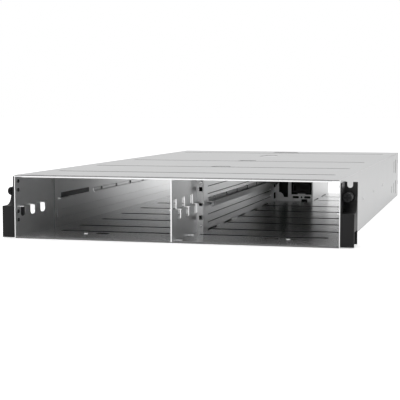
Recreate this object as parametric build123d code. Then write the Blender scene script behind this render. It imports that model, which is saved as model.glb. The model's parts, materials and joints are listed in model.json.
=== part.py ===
from build123d import *
import math
import os

# Empty two-unit rack enclosure that takes half-width server nodes from the front.
# Millimetres. X runs across, Y from the front to the back, Z is up.
# The origin is the bottom centre of the whole part.

# Shell, as wide as the rack standard leaves between the two ears
ear_span = 482.6
ear_reach = 17.8
body_width = ear_span - 2 * ear_reach
body_height = 87.0
body_depth = 898.0
wall_sheet = 1.2
floor_sheet = 1.2
cover_sheet = 1.0
inner_sheet = 1.0
wall_flange = 11.0
front_hem = 12.0
hem_blade_gap = 2.0
lip_height = 3.0
lip_depth = 2.4
rear_cover_length = 241.0
cover_seam = 0.6
cover_gap = 0.2
panel_gap = 0.1

# Pressed beads
bead_width = 8.0
bead_height = 1.2
bead_draft = 12
crease_depth = 0.8
bay_crease_depths = (97.0, 172.0, 270.0, 368.0, 474.0, 578.0)
tunnel_crease_insets = (187.0, 98.0)
cover_bead_depths = (111, 272, 467)
rear_cover_bead_inset = 98.0
panel_bead_heights = (14.5, 26.0, 56.0, 67.0)
cover_bead_side_margin = 21.0
bay_bead_start = 13.0
bay_bead_outer_margin = 12.0
bay_bead_outer_margin_left = 27.0
first_bead_outer_margin = 25.0
bay_bead_cage_margin = 6.0

# Catch holes and stops for the nodes, in the floor
catch_depth = 72.0
catch_hole_offset = 121.0
catch_hole_length = 20.0
catch_hole_width = 15.0
catch_tab_depth = 67.0
catch_tab_offset = 142.0
catch_tab_length = 5.5
catch_tab_width = 3.5

# Side walls: punched support tabs, rear slots
wall_window_depths = (27.0, 61.0, 97.0)
wall_window_width = 17.0
window_height = 13.5
window_corner = 5.6
tab_thickness = 1.2
tab_reach = 5.0
rear_slot_inset = 58.0
rear_slot_width = 4.0
rear_slot_height = 26.0
rear_slot_low = 8.0
rear_slot_high = 49.0

# Shelf level that parts the bay into a lower and an upper half
shelf_height = 43.2

# Inner wall liners
liner_start = 140.0
liner_rear_inset = 10.0
liner_crease_heights = (14.4, 26.8)
liner_crease_width = 3.0
liner_crease_depth = 0.4
liner_crease_margin = 24.0
liner_window_start = 166.0
liner_window_length = 122.0
liner_window_height = 7.6
liner_slot_start = 149.8
liner_slot_width = 2.6
liner_slot_low = 15.0
liner_slot_height = 12.0
window_lip_start = 158.0
window_lip_length = 36.0
foot_height = 1.7
foot_gap = 57.0
foot_pitch = 100.0

# Mid rails
rail_flange = 5.0
rail_reach = 7.0
rail_drop = 8.2
rail_start = 160.0
wall_rail_start = 306.8
wall_rail_reach = 3.0
wall_rail_drop = 2.4
rail_window_width = 6.0
rail_window_pitch = 12.0
rail_windows = 2

# Divider
blade_sheet = 1.2
blade_hem = 1.7
blade_hem_depth = 6.0
divider_start = 134.0
divider_half = 9.4
blade_lower_depths = (39.0, 81.0, 125.0)
blade_upper_depths = (16.5, 59.0, 102.0)
blade_window_width = 15.0
flange_hole_width = 5.2
flange_hole_height = 6.1
flange_hole_low = 18.1
flange_hole_high = 59.2

# Cage for the power supplies
cage_depth = 210.0
cage_half = 81.0
tall_opening = (16.0, 33.5)
tall_opening_low = 8.4
tall_opening_top_margin = 6.8
lug_radius = 9.3
wide_opening = (40.0, 79.0)
wide_opening_low = 13.7
wide_opening_height = 26.0
wide_opening_top_margin = 4.8
sill_bump_width = 15.0
sill_bump_height = 1.6
slot_length = 12.4
slot_height = 4.3
slot_level = 8.4
slot_offset = 11.2
sill_hole = 3.4
sill_notch_width = 11.0
sill_notch_height = 3.6
side_slot_offset = 7.6
side_slot_width = 2.8
side_slot_height = 7.4
partition_sheet = 1.2

# Power distribution board
board_offset = 14.0
board_thickness = 2.4
board_margin = 3.0
connector_width = 32.0
connector_height = 21.0
connector_frame = 2.0
connector_recess = 5.0
power_plug_width = 36.0
power_plug_height = 14.0
power_plug_depth = 5.0

# Power supplies
supply_side_gap = 0.6
supply_sheet = 1.0
supply_front_gap = 0.6
supply_face = 13.0
fan_radius = 17.6
fan_tip_gap = 0.7
fan_hub_radius = 8.0
fan_depth = 8.0
fan_blades = 5
fan_shaft_radius = 1.5
fan_running_gap = 0.05
fan_end_gap = 0.4
guard_thickness = 1.0
guard_ring = 1.3
guard_radii = (12.9, 7.2)
guard_bars = 2
guard_sides = 20
inlet_width = 22.0
inlet_corner = 3.2
inlet_wall = 1.6
inlet_height = 16.0
inlet_depth = 10.0
inlet_pin_width = 1.4
handle_width = 7.0
handle_bar = 4.5
handle_corner = 6.0
handle_corner_inner = 2.7
handle_proud = 24.0
handle_margin = 3.0
latch_width = 5.0
latch_height = 14.0
latch_corner = 2.8
latch_reach = 15.0
latch_pivot_radius = 1.2
latch_running_gap = 0.06

# Rear panel above the power supplies
vent_hex = 8.4
vent_pitch = 10.4
vent_margin = 5.0
port_width = 15.0
port_height = 12.6
port_depth = 18.0
port_wall = 1.2
port_margin = 4.0
port_rise = 8.0
port_pitch = 18.5

# Rack ears
ear_sheet = 1.5
ear_setback = 35.5
ear_flange_sheet = 2.0
ear_low = 1.5
ear_high = 82.8
ear_leg = 46.0
ear_corner = 5.0
ear_hole_edge = 9.9
ear_notch_width = 7.6
ear_notch_low = 75.0
cap_height = 44.2
cap_low = 1.2
cap_tongue = 4.0
cap_deep_low = 20.5
cap_sweep_high = 62.0
cap_sweep_start = 14.0
cap_wall_gap = 0.2

# Captive thumbscrews
knob_radius = 6.0
knob_front = 8.5
knob_level = 64.2
knob_end = 30.5
knob_flutes = 14
flute_width = 0.9
cross_width = 1.5
cross_length = 5.6
cross_depth = 2.2
shank_radius = 2.0
shank_proud = 1.0
stud_radius = 2.5
stud_length = 12.0
ferrule_radius = 4.2
ferrule_gap = 0.05
ferrule_end_gap = 0.3

# Fasteners
rivet_radius = 2.0
rivet_height = 0.8
screw_radius = 2.6
screw_height = 1.4
head_draft = 25
head_sides = 8
rail_rivet_pitch = 76.4
side_rivet_depths = (256.6, 412.0, 566.0)
ear_screw_depth = 10.0
ear_screw_heights = (24.6, 36.4)
ear_screw_top_margins = (21.0, 9.0)

# Rear cover
cover_travel = 12.0
hook_insets = (198.0, 48.0)
hook_length = 12.0
hook_sheet = 1.2
hook_inset = 2.6
hook_drop = 4.5
hook_toe = 8.0
hook_clearance = 0.6
scoop_inset = 50.0
scoop_width = 50.0
scoop_length = 22.0
scoop_drop = 3.0
scoop_corner = 7.0
pad_width = 34.0
pad_length = 40.0
pad_height = 0.6
pad_taper = 6.0

# Small places and fits of the sheet-metal details
hem_line = 7.0
hem_groove = 2.5
hem_groove_drop = 0.5
blade_overlap = 16.0
blade_foot_depths = (28.0, 60.0, 92.0, 118.0)
foot_width = 12.0
foot_reach = 8.0
foot_first_margin = 12.0
panel_bead_inset = 48.0
panel_bead_width = 5.0
panel_bead_drop = 0.9
flange_hole_shift = 1.2
flange_slot_height = 4.0
flange_screw_heights = (9.6, 72.0)
liner_rail_end_margin = 8.0
cage_rail_margin = 12.0
cage_sheet = 1.2
supply_floor_gap = 0.3
side_slot_heights = (11.4, 30.6)
supply_bay_top = 43.0
vent_sheet = 1.2
fan_front_gap = 0.6
fan_blade_sheet = 1.1
blade_chord = 9.0
blade_turn = 56
blade_sink = 1.0
inlet_pin_pitch = 6.0
inlet_pin_rise = 2.6
inlet_pin_height = 5.0
inlet_pin_gap = 2.0
latch_swing_gap = 2.0
latch_side_gap = 0.6
latch_nose = 0.9
latch_nose_depth = 4.0
latch_nose_length = 3.0
latch_nose_height = 8.0
catch_gap = 0.5
latch_pocket_depth = 11.0
latch_pivot_depth = 8.4
cap_arc_radius = 15.1
cap_horn = 4.0
cap_horn_sheet = 4.0
cap_knob_gap = 0.5
knob_chamfer = 0.8
knob_grip = 17.0

# Places worked out from the sizes above
overall_depth = body_depth + handle_proud
front = -overall_depth / 2
half_width = body_width / 2
ear_half = ear_span / 2
ear_hole_offset = ear_half - ear_hole_edge
wall_inside = half_width - wall_sheet
under_cover = body_height - cover_sheet
liner_back = wall_inside - panel_gap
liner_face = liner_back - inner_sheet
wall_top = under_cover - wall_sheet
shelf_underside = shelf_height - tab_thickness
cage_front = body_depth - cage_depth
cover_split = body_depth - rear_cover_length
liner_end = body_depth - liner_rear_inset
panel_bead_end = cage_front - panel_bead_inset
rear_slot_depth = body_depth - rear_slot_inset
scoop_depth = body_depth - scoop_inset
rear_cover_bead_depth = body_depth - rear_cover_bead_inset
hook_depths = [body_depth - inset for inset in hook_insets]
floor_crease_depths = [*bay_crease_depths, *[body_depth - inset for inset in tunnel_crease_insets]]
divider_top = under_cover - bead_height
opening_levels = (wide_opening_low, divider_top - wide_opening_top_margin - wide_opening_height)


def at(depth):
    """Y of a point that lies this far behind the front plane."""
    return front + depth


def block(x, y, z):
    """Rectangular solid between low and high limits, with y as depths."""
    size = (x[1] - x[0], y[1] - y[0], z[1] - z[0])
    middle = ((x[0] + x[1]) / 2, at((y[0] + y[1]) / 2), (z[0] + z[1]) / 2)
    return Pos(*middle) * Box(*size)


def mirrored(shape):
    """The same piece on the other side of the enclosure."""
    return mirror(shape, about=Plane.YZ)


def facing(origin, normal, along):
    """Plane at a point, looking out along its normal."""
    return Plane(origin=origin, x_dir=along, z_dir=normal)


def bead_outline(length, width):
    """Long flat outline of a pressed bead, narrowed at both ends."""
    outline = Rectangle(length, width)
    return chamfer(outline.vertices(), width / 3)


def bead_ridge(face, length, width, height, sheet):
    """Metal that a pressed bead pushes out behind the sheet."""
    outline = bead_outline(length + 2 * sheet, width + 2 * sheet)
    return extrude(face * outline, amount=-(height + sheet), taper=bead_draft)


def bead_groove(face, length, width, height):
    """Hollow that a pressed bead leaves in the sheet's face."""
    return extrude(face * bead_outline(length, width), amount=-height, taper=bead_draft)


def press(sheet_solid, faces, length, width, height, sheet):
    """Press the same bead into a sheet at each of the given planes."""
    ridges = [bead_ridge(face, length, width, height, sheet) for face in faces]
    grooves = [bead_groove(face, length, width, height) for face in faces]
    return sheet_solid + ridges - grooves


def head(origin, normal, radius, height):
    """Rivet or screw head that sits on a face."""
    outline = RegularPolygon(radius, head_sides)
    return extrude(Plane(origin=origin, z_dir=normal) * outline, amount=height, taper=head_draft)


def write(name, *solids):
    """Write one node, with its solids kept apart."""
    shape = solids[0] if len(solids) == 1 else Compound(children=list(solids))
    export_step(shape, f"parts/{name}.step")


os.makedirs("parts", exist_ok=True)


# Floor pan with its front hem and rolled cross creases
hem_start = blade_hem / 2 + hem_blade_gap
pan = block((-wall_inside, wall_inside), (0, body_depth), (0, floor_sheet))
hem_right = block((hem_start, wall_inside - panel_gap), (0, front_hem), (floor_sheet, 2 * floor_sheet))
pan = pan + hem_right + mirrored(hem_right)
for number, depth in enumerate(floor_crease_depths):
    right_margin = first_bead_outer_margin if number == 0 else bay_bead_outer_margin
    inner_end = bay_bead_start if depth < cage_front else cage_half + bay_bead_cage_margin
    bays = ((inner_end, liner_face - right_margin),
            (bay_bead_outer_margin_left - liner_face, -inner_end))
    for low, high in bays:
        top_face = facing(((low + high) / 2, at(depth), floor_sheet), (0, 0, 1), (1, 0, 0))
        pan -= bead_groove(top_face, high - low, bead_width, crease_depth)
for side in (-1, 1):
    catch_hole = SlotOverall(catch_hole_length, catch_hole_width)
    pan -= extrude(Pos(side * catch_hole_offset, at(catch_depth), 0) * catch_hole, amount=floor_sheet)
    tab_x = sorted((side * catch_tab_offset, side * (catch_tab_offset + catch_tab_length)))
    tab_y = (catch_tab_depth, catch_tab_depth + catch_tab_width)
    pan += block(tab_x, tab_y, (floor_sheet, floor_sheet + bead_height))
write("floor_pan", pan)


# Side walls with a top flange, punched shelf tabs and rear slots
def window(width, height, radius):
    """Punched window with a straight top and rounded lower corners."""
    outline = Pos(0, -height / 2) * Rectangle(width, height)
    return fillet(outline.vertices().group_by(Axis.Y)[0], radius)


hook_notch_inner = half_width - wall_flange
hook_plane = hook_notch_inner + hook_inset
web = block((wall_inside, half_width), (0, body_depth), (0, under_cover))
top_flange = block((hook_notch_inner, wall_inside), (0, body_depth), (wall_top, under_cover))
wall = web + top_flange
for depth in wall_window_depths:
    seat = facing((half_width + 1, at(depth), shelf_underside), (1, 0, 0), (0, 1, 0))
    hole = extrude(seat * window(wall_window_width, window_height, window_corner),
                   amount=-(wall_sheet + 2))
    tab = block((wall_inside - tab_reach, wall_inside),
                (depth - wall_window_width / 2 - 1, depth + wall_window_width / 2 + 1),
                (shelf_underside, shelf_height))
    wall = wall - hole + tab
for low in (rear_slot_low, rear_slot_high):
    wall -= block((wall_inside - 1, half_width + 1),
                  (rear_slot_depth - rear_slot_width / 2, rear_slot_depth + rear_slot_width / 2),
                  (low, low + rear_slot_height))
for depth in hook_depths:
    wall -= block((hook_notch_inner - 1, hook_plane + hook_sheet + hook_clearance),
                  (depth - hook_clearance, depth + hook_length + cover_travel + hook_clearance),
                  (wall_top - 1, under_cover + 1))
write("side_wall_right", wall)
write("side_wall_left", mirrored(wall))


# Front cover: cross beads, hemmed front lip and centre recesses
def centre_recess(depth, length):
    """Shallow trapezoid pressed into a cover on its centre line."""
    narrow = pad_width / 2 - pad_taper
    outline = Polyline((-pad_width / 2, at(depth)), (pad_width / 2, at(depth)),
                       (narrow, at(depth + length)), (-narrow, at(depth + length)), close=True)
    return extrude(Plane.XY.offset(body_height) * make_face(outline), amount=-pad_height)


cover_end = cover_split - cover_seam / 2
bead_reach = half_width - cover_bead_side_margin
lip_reach = hook_notch_inner - panel_gap
cover = block((-half_width, half_width), (0, cover_end), (under_cover, body_height))
cover += block((-lip_reach, lip_reach), (0, lip_depth), (body_height - lip_height, under_cover))
cover_faces = [facing((0, at(depth), body_height), (0, 0, 1), (1, 0, 0)) for depth in cover_bead_depths]
cover = press(cover, cover_faces, 2 * bead_reach, bead_width, bead_height, cover_sheet)
cover -= block((-bead_reach, bead_reach), (hem_line, hem_line + hem_groove),
               (body_height - hem_groove_drop, body_height))
for depth in cover_bead_depths[1:]:
    cover -= centre_recess(depth + bead_width / 2, pad_length / 2)
write("front_cover", cover)


# Rear cover: lifts off after it slides back, held by hooks under the wall flanges
rear_sheet = cover_sheet - cover_gap
lid_low = body_height - rear_sheet
lid = block((-half_width, half_width), (cover_split + cover_seam / 2, body_depth), (lid_low, body_height))
lid_face = facing((0, at(rear_cover_bead_depth), body_height), (0, 0, 1), (1, 0, 0))
lid = press(lid, [lid_face], 2 * bead_reach, bead_width, bead_height, rear_sheet)
scoop_outline = RectangleRounded(scoop_width, scoop_length, scoop_corner)
scoop_back = offset(scoop_outline, amount=rear_sheet)
scoop_face = facing((0, at(scoop_depth), body_height), (0, 0, 1), (1, 0, 0))
lid += extrude(scoop_face * scoop_back, amount=-(scoop_drop + rear_sheet))
lid -= extrude(scoop_face * scoop_outline, amount=-scoop_drop)
lid -= centre_recess(cover_split + cover_seam / 2, pad_length)
for depth in hook_depths:
    shank_low = wall_top - hook_drop
    shank = block((hook_plane, hook_plane + hook_sheet), (depth, depth + hook_length), (shank_low, lid_low))
    toe = block((hook_plane, hook_plane + hook_sheet), (depth - hook_toe, depth),
                (shank_low, wall_top - ferrule_end_gap))
    hook = shank + toe
    lid = lid + hook + mirrored(hook)
write("rear_cover", lid)


# Divider blade: punched windows whose tabs turn to alternate bays
blade_top = body_height - lip_height
blade_end = divider_start + blade_overlap
blade = block((-blade_sheet / 2, blade_sheet / 2), (0, blade_end), (floor_sheet, blade_top))
blade += block((-blade_hem / 2, blade_hem / 2), (0, blade_hem_depth), (floor_sheet, blade_top))
for depths, top, side in ((blade_lower_depths, shelf_underside, 1),
                          (blade_upper_depths, shelf_height + window_height, -1)):
    for depth in depths:
        hole = block((-blade_sheet, blade_sheet),
                     (depth - blade_window_width / 2, depth + blade_window_width / 2),
                     (top - window_height, top))
        reach = sorted((side * blade_sheet / 2, side * (blade_sheet / 2 + tab_reach)))
        tab = block(reach, (depth - blade_window_width / 2, depth + blade_window_width / 2),
                    (shelf_underside, shelf_height))
        blade = blade - hole + tab
for number, depth in enumerate(blade_foot_depths):
    side = 1 if number % 2 == 0 else -1
    reach = sorted((side * blade_sheet / 2, side * (blade_sheet / 2 + foot_reach)))
    blade += block(reach, (depth - foot_width / 2, depth + foot_width / 2), (floor_sheet, 2 * floor_sheet))
write("divider_blade", blade)


# Divider panels: the two beaded skins of the thick part, with a holed front flange
def foot_gaps(start, end, x_low, x_high):
    """Cut-outs that leave a row of feet along a panel's lower edge."""
    count = int((end - start - foot_gap) // foot_pitch) + 1
    return [block((x_low, x_high), (start + n * foot_pitch, start + n * foot_pitch + foot_gap),
                  (floor_sheet - 1, floor_sheet + foot_height)) for n in range(count)]


panel_bead_length = panel_bead_end - rail_start
panel_bead_middle = (panel_bead_end + rail_start) / 2
skin = block((divider_half - inner_sheet, divider_half), (divider_start, cage_front),
             (floor_sheet, divider_top))
flange = block((blade_sheet / 2, divider_half), (divider_start, divider_start + inner_sheet),
               (floor_sheet, divider_top))
skin += flange
skin_faces = [facing((divider_half, at(panel_bead_middle), level), (1, 0, 0), (0, 1, 0))
              for level in panel_bead_heights]
skin = press(skin, skin_faces, panel_bead_length, panel_bead_width, panel_bead_drop, inner_sheet)
skin -= foot_gaps(rail_start, cage_front, divider_half - 2 * inner_sheet, divider_half + 1)
hole_middle = (blade_sheet / 2 + divider_half - inner_sheet) / 2 + flange_hole_shift
hole_sides = (hole_middle - flange_hole_width / 2, hole_middle + flange_hole_width / 2)
flange_cut = (divider_start - 1, divider_start + 2 * inner_sheet)
for low in (flange_hole_low, flange_hole_high):
    skin -= block(hole_sides, flange_cut, (low, low + flange_hole_height))
skin -= block(hole_sides, flange_cut, (shelf_underside - flange_slot_height, shelf_underside))
write("divider_panel_right", skin)
write("divider_panel_left", mirrored(skin))


# Mid rails: folded ledges that carry the upper nodes
def rail(root, side, start, end, reach, drop):
    """Folded ledge along a wall face, reaching to the given side."""
    sheet = inner_sheet
    outline = Polyline(
        (0, shelf_height + rail_flange), (sheet, shelf_height + rail_flange), (sheet, shelf_height),
        (reach, shelf_height), (reach, shelf_height - drop), (reach - sheet, shelf_height - drop),
        (reach - sheet, shelf_height - sheet), (0, shelf_height - sheet), close=True)
    profile = make_face(outline)
    section = Plane(origin=(root, at(start), 0), x_dir=(side, 0, 0), z_dir=(0, -side, 0))
    return extrude(section * profile, amount=side * -(end - start))


divider_rail = rail(divider_half, 1, rail_start, cage_front - panel_gap, rail_reach, rail_drop)
for number in range(rail_windows):
    middle = rail_start + rail_window_pitch * (number + 0.5)
    divider_rail -= block((divider_half + rail_reach - 2 * inner_sheet, divider_half + rail_reach + 1),
                          (middle - rail_window_width / 2, middle + rail_window_width / 2),
                          (shelf_height - rail_drop + inner_sheet, shelf_height - 2 * inner_sheet))
wall_rail_end = liner_end - liner_rail_end_margin
wall_rail = rail(liner_face, -1, wall_rail_start, wall_rail_end, wall_rail_reach, wall_rail_drop)
cage_rail = rail(cage_half, 1, cage_front + cage_rail_margin, body_depth - cage_rail_margin,
                 wall_rail_reach, wall_rail_drop)
write("divider_rail_right", divider_rail)
write("divider_rail_left", mirrored(divider_rail))
write("wall_rail_right", wall_rail)
write("wall_rail_left", mirrored(wall_rail))
write("cage_rails", cage_rail, mirrored(cage_rail))


# Wall liners: creased inner skins against the side walls, with a long window over a folded lip
liner = block((liner_face, liner_back), (liner_start, liner_end), (floor_sheet, wall_top))
crease_length = liner_end - liner_start - 2 * liner_crease_margin
for level in liner_crease_heights:
    crease = facing((liner_face, at((liner_start + liner_end) / 2), level), (-1, 0, 0), (0, 1, 0))
    liner -= bead_groove(crease, crease_length, liner_crease_width, liner_crease_depth)
liner -= block((liner_face - 1, liner_back + 1),
               (liner_window_start, liner_window_start + liner_window_length),
               (shelf_height, shelf_height + liner_window_height))
liner -= block((liner_face - 1, liner_back + 1), (liner_slot_start, liner_slot_start + liner_slot_width),
               (liner_slot_low, liner_slot_low + liner_slot_height))
liner += block((liner_face - wall_rail_reach, liner_face),
               (window_lip_start, window_lip_start + window_lip_length),
               (shelf_height - inner_sheet, shelf_height))
write("wall_liner_right", liner)
write("wall_liner_left", mirrored(liner))


# Cage front panel with cable openings, connector openings, slots and sills
def cage_cuts():
    """Everything punched in the right half of the cage's front panel, as a flat outline."""
    tall_width = tall_opening[1] - tall_opening[0]
    tall_height = divider_top - tall_opening_top_margin - tall_opening_low
    tall = Pos((tall_opening[0] + tall_opening[1]) / 2, tall_opening_low + tall_height / 2) * Rectangle(
        tall_width, tall_height)
    tall -= Pos(tall_opening[0], tall_opening_low) * Circle(lug_radius)
    cuts = tall
    wide_width = wide_opening[1] - wide_opening[0]
    wide_middle = (wide_opening[0] + wide_opening[1]) / 2
    for low in opening_levels:
        opening = Pos(wide_middle, low + wide_opening_height / 2) * Rectangle(wide_width, wide_opening_height)
        opening -= Pos(wide_middle, low + sill_bump_height / 2) * Rectangle(sill_bump_width, sill_bump_height)
        cuts += opening
    for side in (-1, 1):
        cuts += Pos(wide_middle + side * slot_offset, slot_level) * SlotOverall(slot_length, slot_height)
    cuts += Pos(wide_middle, slot_level) * Circle(sill_hole / 2)
    cuts += Pos(wide_middle + sill_notch_width / 2, floor_sheet + sill_notch_height / 2) * Rectangle(
        sill_notch_width, sill_notch_height)
    for level in side_slot_heights:
        cuts += Pos(side_slot_offset, level) * Rectangle(side_slot_width, side_slot_height)
    return cuts


cage_plane = Plane(origin=(0, at(cage_front), 0), x_dir=(1, 0, 0), z_dir=(0, -1, 0))
cage_inner = cage_half - inner_sheet
panel_face = Pos(0, (floor_sheet + divider_top) / 2) * Rectangle(2 * cage_half, divider_top - floor_sheet)
panel_cuts = cage_cuts()
panel_face = panel_face - panel_cuts - mirror(panel_cuts, about=Plane.YZ)
cage_panel = extrude(cage_plane * panel_face, amount=-cage_sheet)
write("cage_front_panel", cage_panel)


# Cage sides, partition and shelf around the power supplies
cage_back = cage_front + cage_sheet
shelf_start = cage_back + board_offset + board_thickness + power_plug_depth
supply_low = floor_sheet + supply_floor_gap
supply_high = supply_bay_top - supply_side_gap
supply_inner = partition_sheet / 2 + supply_side_gap
supply_outer = cage_inner - supply_side_gap
supply_middle = (supply_inner + supply_outer) / 2
supply_level = (supply_low + supply_high) / 2
side_panel = block((cage_inner, cage_half), (cage_back, body_depth), (floor_sheet, divider_top))
side_panel -= foot_gaps(cage_back + foot_first_margin, body_depth, cage_inner - 1, cage_half + 1)
side_panel -= block((cage_inner - 1, cage_half + 1),
                    (body_depth - latch_nose_depth - latch_nose_length - catch_gap,
                     body_depth - latch_nose_depth + catch_gap),
                    (supply_level - latch_nose_height / 2 - catch_gap,
                     supply_level + latch_nose_height / 2 + catch_gap))
write("cage_side_right", side_panel)
write("cage_side_left", mirrored(side_panel))
shelf_span = (shelf_start, body_depth - vent_sheet)
partition = block((-partition_sheet / 2, partition_sheet / 2), shelf_span, (floor_sheet, supply_bay_top))
write("cage_partition", partition)
shelf = block((-cage_inner, cage_inner), shelf_span, (supply_bay_top, supply_bay_top + inner_sheet))
write("cage_shelf", shelf)


# Power distribution board with the node connectors and the supply sockets
board_low = cage_back + board_offset
board_back = board_low + board_thickness
board_half = cage_inner - board_margin
board = block((-board_half, board_half), (board_low, board_back), (floor_sheet, divider_top - board_margin))
write("power_board", board)
connector_middle = (wide_opening[0] + wide_opening[1]) / 2
for row_name, low in zip(("lower", "upper"), opening_levels):
    base = low + sill_bump_height + connector_frame
    body = block((connector_middle - connector_width / 2, connector_middle + connector_width / 2),
                 (cage_back, board_low), (base, base + connector_height))
    body -= block((connector_middle - connector_width / 2 + connector_frame,
                   connector_middle + connector_width / 2 - connector_frame),
                  (cage_back - 1, cage_back + connector_recess),
                  (base + connector_frame, base + connector_height - connector_frame))
    write(f"node_connector_{row_name}_right", body)
    write(f"node_connector_{row_name}_left", mirrored(body))

plugs = [block((side * supply_middle - power_plug_width / 2, side * supply_middle + power_plug_width / 2),
               (board_back, board_back + power_plug_depth),
               (supply_level - power_plug_height / 2, supply_level + power_plug_height / 2))
         for side in (-1, 1)]
write("supply_sockets", *plugs)


# One power supply, built about the middle of the right bay and copied to the left
supply_start = board_back + power_plug_depth + supply_front_gap
supply_half = (supply_outer - supply_inner) / 2
fan_well = fan_radius + fan_tip_gap
fan_offset = supply_sheet + fan_well - supply_half
guard_outer = fan_well + guard_ring / 2
latch_offset = supply_half - latch_side_gap - latch_width / 2
inlet_offset = latch_offset - latch_width / 2 - latch_swing_gap - inlet_wall - inlet_width / 2
handle_offset = (fan_offset + guard_outer + inlet_offset - inlet_width / 2) / 2
pocket_depth = fan_depth + 2 * fan_end_gap + fan_front_gap


def on_rear(x, z, depth=0.0):
    """Plane looking out of the supply's rear face, with x to the right seen from the front."""
    return Plane(origin=(supply_middle + x, at(body_depth - depth), supply_level + z),
                 x_dir=(1, 0, 0), z_dir=(0, 1, 0))


case = block((supply_inner, supply_outer), (supply_start, body_depth), (supply_low, supply_high))
case -= block((supply_inner + supply_sheet, supply_outer - supply_sheet),
              (supply_start - 1, body_depth - supply_face),
              (supply_low + supply_sheet, supply_high - supply_sheet))
case -= extrude(on_rear(fan_offset, 0) * Circle(fan_well), amount=-pocket_depth)
case += extrude(on_rear(fan_offset, 0, pocket_depth) * Circle(fan_shaft_radius), amount=fan_depth)
inlet_outline = Rectangle(inlet_width, inlet_height)
inlet_outline = chamfer(inlet_outline.vertices().group_by(Axis.Y)[-1], inlet_corner)
case -= extrude(on_rear(inlet_offset, 0) * inlet_outline, amount=-inlet_depth)
for x, z in ((-inlet_pin_pitch, -inlet_pin_rise), (0, inlet_pin_rise), (inlet_pin_pitch, -inlet_pin_rise)):
    pin = Rectangle(inlet_pin_width, inlet_pin_height)
    case += extrude(on_rear(inlet_offset + x, z, inlet_depth) * pin, amount=inlet_depth - inlet_pin_gap)
latch_pocket = block((supply_middle + latch_offset - latch_width / 2 - latch_swing_gap, supply_outer + 1),
                     (body_depth - latch_pocket_depth, body_depth + 1),
                     (supply_level - latch_height / 2 - supply_side_gap,
                      supply_level + latch_height / 2 + supply_side_gap))
case -= latch_pocket
pivot_plane = Plane(origin=(supply_middle + latch_offset, at(body_depth - latch_pivot_depth),
                            supply_level - latch_height / 2 - supply_side_gap))
case += extrude(pivot_plane * Circle(latch_pivot_radius), amount=latch_height + 2 * supply_side_gap)

handle_half = (supply_high - supply_low) / 2 - handle_margin
handle_outline = Pos(handle_proud / 2, 0) * Rectangle(handle_proud, 2 * handle_half)
handle_outline = fillet(handle_outline.vertices().group_by(Axis.X)[-1], handle_corner)
grip_reach = handle_proud - handle_bar
grip_hole = Pos(grip_reach / 2, 0) * Rectangle(grip_reach, 2 * (handle_half - handle_bar))
grip_hole = fillet(grip_hole.vertices().group_by(Axis.X)[-1], handle_corner_inner)
handle_plane = Plane(origin=(supply_middle + handle_offset + handle_width / 2, at(body_depth), supply_level),
                     x_dir=(0, 1, 0), z_dir=(1, 0, 0))
handle = extrude(handle_plane * (handle_outline - grip_hole), amount=-handle_width)



def guard_hoop(radius):
    """One hoop of the fan guard, rolled from many short flats."""
    return RegularPolygon(radius, guard_sides) - RegularPolygon(radius - guard_ring, guard_sides)


guard_outline = guard_hoop(guard_outer)
for radius in guard_radii:
    guard_outline += guard_hoop(radius)
for number in range(guard_bars):
    turn = 180 * (number + 0.5) / guard_bars
    guard_outline += Rot(0, 0, turn) * Rectangle(2 * guard_outer - guard_ring, guard_ring)
guard = extrude(on_rear(fan_offset, 0) * guard_outline, amount=guard_thickness)

hub_base = on_rear(fan_offset, 0, pocket_depth - fan_end_gap)
hub = extrude(hub_base * Circle(fan_hub_radius), amount=fan_depth + fan_end_gap)
hub -= extrude(hub_base * Circle(fan_shaft_radius + fan_running_gap), amount=fan_depth)
rotor = hub
fan_centre = hub_base.offset((fan_depth + fan_end_gap) / 2)
for number in range(fan_blades):
    turned = fan_centre * Rot(0, 0, 360 * number / fan_blades)
    root_plane = Plane(turned * Location((fan_hub_radius - blade_sink, 0, 0), (0, 90, 0)))
    root = root_plane * Rot(0, 0, blade_turn) * Rectangle(blade_chord, fan_blade_sheet)
    rotor += extrude(root, amount=fan_radius - fan_hub_radius + blade_sink)

lever_out = latch_reach - latch_pocket_depth
latch_middle = supply_middle + latch_offset
lever = block((latch_middle - latch_width / 2, latch_middle + latch_width / 2),
              (body_depth - latch_pocket_depth + supply_side_gap, body_depth + lever_out),
              (supply_level - latch_height / 2, supply_level + latch_height / 2))
lever -= extrude(pivot_plane * Circle(latch_pivot_radius + latch_running_gap),
                 amount=latch_height + 2 * supply_side_gap)
lever = fillet(lever.edges().filter_by(Axis.X).group_by(Axis.Y)[-1], latch_corner)
nose_root = latch_middle + latch_width / 2
nose_outline = Polyline((nose_root, at(body_depth - latch_nose_depth)),
                        (nose_root + latch_nose, at(body_depth - latch_nose_depth)),
                        (nose_root, at(body_depth - latch_nose_depth - latch_nose_length)), close=True)
nose_plane = Plane.XY.offset(supply_level - latch_nose_height / 2)
lever += extrude(nose_plane * make_face(nose_outline), amount=latch_nose_height)
for name, piece in (("case", case), ("handle", handle), ("fan_guard", guard), ("fan_rotor", rotor),
                    ("latch", lever)):
    write(f"supply_right_{name}", piece)
    write(f"supply_left_{name}", Pos(-2 * supply_middle, 0, 0) * piece)


# Rear panels above the supplies: a vent panel and a bracket for the two management ports
def rear_face(x_low, x_high):
    """Flat outline of a rear panel between two places across the cage."""
    middle = ((x_low + x_high) / 2, (vent_low + divider_top) / 2)
    return Pos(*middle) * Rectangle(x_high - x_low, divider_top - vent_low)


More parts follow.
